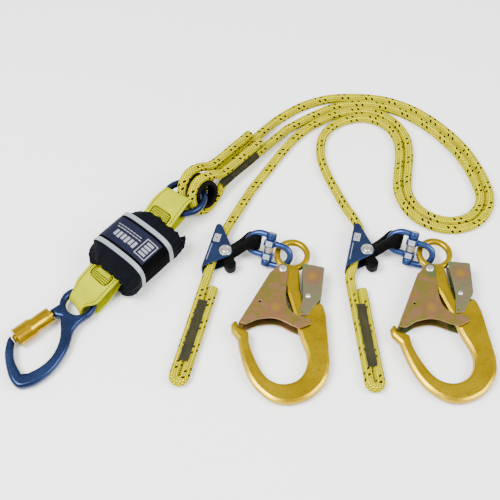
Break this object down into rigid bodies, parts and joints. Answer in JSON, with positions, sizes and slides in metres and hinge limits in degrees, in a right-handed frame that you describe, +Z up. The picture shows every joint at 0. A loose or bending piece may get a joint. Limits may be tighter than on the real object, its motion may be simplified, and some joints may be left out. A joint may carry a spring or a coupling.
{
  "type": "shock absorbing lanyard",
  "caption": "Twin leg shock absorbing lanyard lying on a floor: karabiner, sewn energy absorber, ring, spliced rope legs with adjusters, coupling links and large scaffold hooks.",
  "frame": {"origin": "on the floor, under the middle of the lanyard without its two free rope legs", "axes": "+Z up; +X to the right and +Y to the back with the hooks at the front; the karabiner points to the front left"},
  "size_m": [0.6122, 0.4868, 0.0562],
  "materials": {
    "rope": "braided polyester, yellow with black flecks",
    "webbing": "woven polyester webbing, fluorescent yellow",
    "clear_sleeve": "clear heat-shrink sleeve",
    "label_grey": "printed label, plain",
    "blue_aluminium": "blue anodised",
    "blue_forging": "blue anodised forging",
    "gold_aluminium": "gold anodised",
    "gold_forging": "gold zinc finish on a forging",
    "zinc_plate": "yellow passivated zinc",
    "green_zinc_plate": "green passivated zinc",
    "steel": "bright steel",
    "black_plastic": "moulded",
    "navy_fabric": "woven cover",
    "reflective_tape": "retroreflective tape",
    "label_blue": "printed label, plain pattern"
  },
  "bodies": {
    "rope_legs": {"rope_leg_1": "rope", "rope_leg_2": "rope", "rope_eye_1": "rope", "rope_eye_2": "rope", "thimble_1": "black_plastic", "thimble_2": "black_plastic", "splice_sleeve_1": "clear_sleeve", "splice_sleeve_2": "clear_sleeve", "splice_label": "label_grey", "stop_fold_1": "rope", "stop_fold_2": "rope", "stop_sleeve_1": "clear_sleeve", "stop_sleeve_2": "clear_sleeve", "stop_label_1": "label_grey", "stop_label_2": "label_grey"},
    "ring": {"ring": "blue_aluminium"},
    "absorber": {"absorber_cover": "navy_fabric", "tear_webbing": "webbing", "centre_band": "black_plastic", "reflective_band_lower": "reflective_tape", "reflective_band_upper": "reflective_tape", "absorber_label": "label_blue", "upper_webbing_loop": "webbing", "lower_webbing_loop": "webbing"},
    "karabiner": {"karabiner_body": "blue_aluminium", "gate_hinge_pin": "steel"},
    "karabiner_gate": {"karabiner_gate": "gold_aluminium", "sleeve_spring": "steel"},
    "karabiner_sleeve": {"karabiner_sleeve": "gold_aluminium"},
    "adjuster_1": {"adjuster_housing_1": "blue_aluminium", "adjuster_rivet_1": "steel"},
    "cam_1": {"cam_1": "black_plastic", "cam_boot_1": "black_plastic"},
    "link_cam_half_1": {"link_cam_half_1": "blue_forging", "link_pin_1": "steel", "link_collar_1": "steel"},
    "link_hook_half_1": {"link_hook_half_1": "blue_forging"},
    "hook_1": {"hook_body_1": "gold_forging", "gate_rivet_1": "steel", "lever_rivet_1": "steel"},
    "hook_gate_1": {"hook_gate_1": "zinc_plate", "gate_spring_1": "steel"},
    "lock_lever_1": {"lock_lever_1": "green_zinc_plate"},
    "adjuster_2": {"adjuster_housing_2": "blue_aluminium", "adjuster_rivet_2": "steel"},
    "cam_2": {"cam_2": "black_plastic", "cam_boot_2": "black_plastic"},
    "link_cam_half_2": {"link_cam_half_2": "blue_forging", "link_pin_2": "steel", "link_collar_2": "steel"},
    "link_hook_half_2": {"link_hook_half_2": "blue_forging"},
    "hook_2": {"hook_body_2": "gold_forging", "gate_rivet_2": "steel", "lever_rivet_2": "steel"},
    "hook_gate_2": {"hook_gate_2": "zinc_plate", "gate_spring_2": "steel"},
    "lock_lever_2": {"lock_lever_2": "green_zinc_plate"}
  },
  "joints": [
    {"name": "ring_swing", "type": "hinge", "parent": "rope_legs", "child": "ring", "pos_m": [-0.06454, 0.08081, 0.0275], "axis": [-0.7547, 0.6561, 0], "range_deg": [0, 5]},
    {"name": "absorber_swing", "type": "hinge", "parent": "ring", "child": "absorber", "pos_m": [-0.098, 0.04233, 0.0275], "axis": [-0.7547, 0.6561, 0], "range_deg": [0, 5]},
    {"name": "karabiner_swing", "type": "hinge", "parent": "absorber", "child": "karabiner", "pos_m": [-0.20219, -0.06929, 0.01423], "axis": [-0.9185, 0.3899, 0.0664], "range_deg": [0, 4]},
    {"name": "gate_turn", "type": "hinge", "parent": "karabiner", "child": "karabiner_gate", "pos_m": [-0.23355, -0.09558, 0.01348], "axis": [0.0399, -0.0757, 0.9963], "range_deg": [0, 20], "stiffness_Nm_per_rad": 0.02},
    {"name": "sleeve_twist", "type": "hinge", "parent": "karabiner_gate", "child": "karabiner_sleeve", "pos_m": [-0.24091, -0.09983, 0.01345], "axis": [-0.7557, -0.6546, -0.0195], "range_deg": [0, 75], "stiffness_Nm_per_rad": 0.01},
    {"name": "adjuster_slide_1", "type": "slide", "parent": "rope_legs", "child": "adjuster_1", "axis": [0.2689, 0.9632, 0], "range_m": [-0.004, 0.004]},
    {"name": "cam_turn_1", "type": "hinge", "parent": "adjuster_1", "child": "cam_1", "pos_m": [-0.03127, -0.01113, 0.0116], "axis": [0, 0, 1], "range_deg": [-3, 3]},
    {"name": "link_swing_1", "type": "hinge", "parent": "cam_1", "child": "link_cam_half_1", "pos_m": [-0.00271, 0.00227, 0.02515], "axis": [-0.2004, -0.5821, -0.788], "range_deg": [0, 4]},
    {"name": "link_fold_1", "type": "hinge", "parent": "link_cam_half_1", "child": "link_hook_half_1", "pos_m": [0.02333, -0.00963, 0.0216], "axis": [-0.2004, -0.5821, -0.788], "range_deg": [0, 6]},
    {"name": "hook_swing_1", "type": "hinge", "parent": "link_hook_half_1", "child": "hook_1", "pos_m": [0.03363, -0.01713, 0.0187], "axis": [-1, 0, 0], "range_deg": [0, 4]},
    {"name": "hook_gate_turn_1", "type": "hinge", "parent": "hook_1", "child": "hook_gate_1", "pos_m": [0.04013, -0.04158, 0.01714], "axis": [0, -0.0637, 0.998], "range_deg": [0, 25], "stiffness_Nm_per_rad": 0.05},
    {"name": "lock_lever_turn_1", "type": "hinge", "parent": "hook_1", "child": "lock_lever_1", "pos_m": [0.07023, -0.0789, 0.01476], "axis": [0, -0.0637, 0.998], "range_deg": [0, 12], "stiffness_Nm_per_rad": 0.05},
    {"name": "adjuster_slide_2", "type": "slide", "parent": "rope_legs", "child": "adjuster_2", "axis": [0.2198, 0.9755, 0], "range_m": [-0.004, 0.004]},
    {"name": "cam_turn_2", "type": "hinge", "parent": "adjuster_2", "child": "cam_2", "pos_m": [0.14673, -0.00963, 0.0116], "axis": [0, 0, 1], "range_deg": [-3, 3]},
    {"name": "link_swing_2", "type": "hinge", "parent": "cam_2", "child": "link_cam_half_2", "pos_m": [0.17528, 0.00377, 0.02515], "axis": [-0.2004, -0.5821, -0.788], "range_deg": [0, 4]},
    {"name": "link_fold_2", "type": "hinge", "parent": "link_cam_half_2", "child": "link_hook_half_2", "pos_m": [0.20133, -0.00813, 0.0216], "axis": [-0.2004, -0.5821, -0.788], "range_deg": [0, 6]},
    {"name": "hook_swing_2", "type": "hinge", "parent": "link_hook_half_2", "child": "hook_2", "pos_m": [0.21177, -0.01795, 0.0187], "axis": [-0.9925, -0.1219, 0], "range_deg": [0, 4]},
    {"name": "hook_gate_turn_2", "type": "hinge", "parent": "hook_2", "child": "hook_gate_2", "pos_m": [0.2212, -0.04142, 0.01714], "axis": [0.0078, -0.0632, 0.998], "range_deg": [0, 25], "stiffness_Nm_per_rad": 0.05},
    {"name": "lock_lever_turn_2", "type": "hinge", "parent": "hook_2", "child": "lock_lever_2", "pos_m": [0.25563, -0.0748, 0.01476], "axis": [0.0078, -0.0632, 0.998], "range_deg": [0, 12], "stiffness_Nm_per_rad": 0.05}
  ]
}
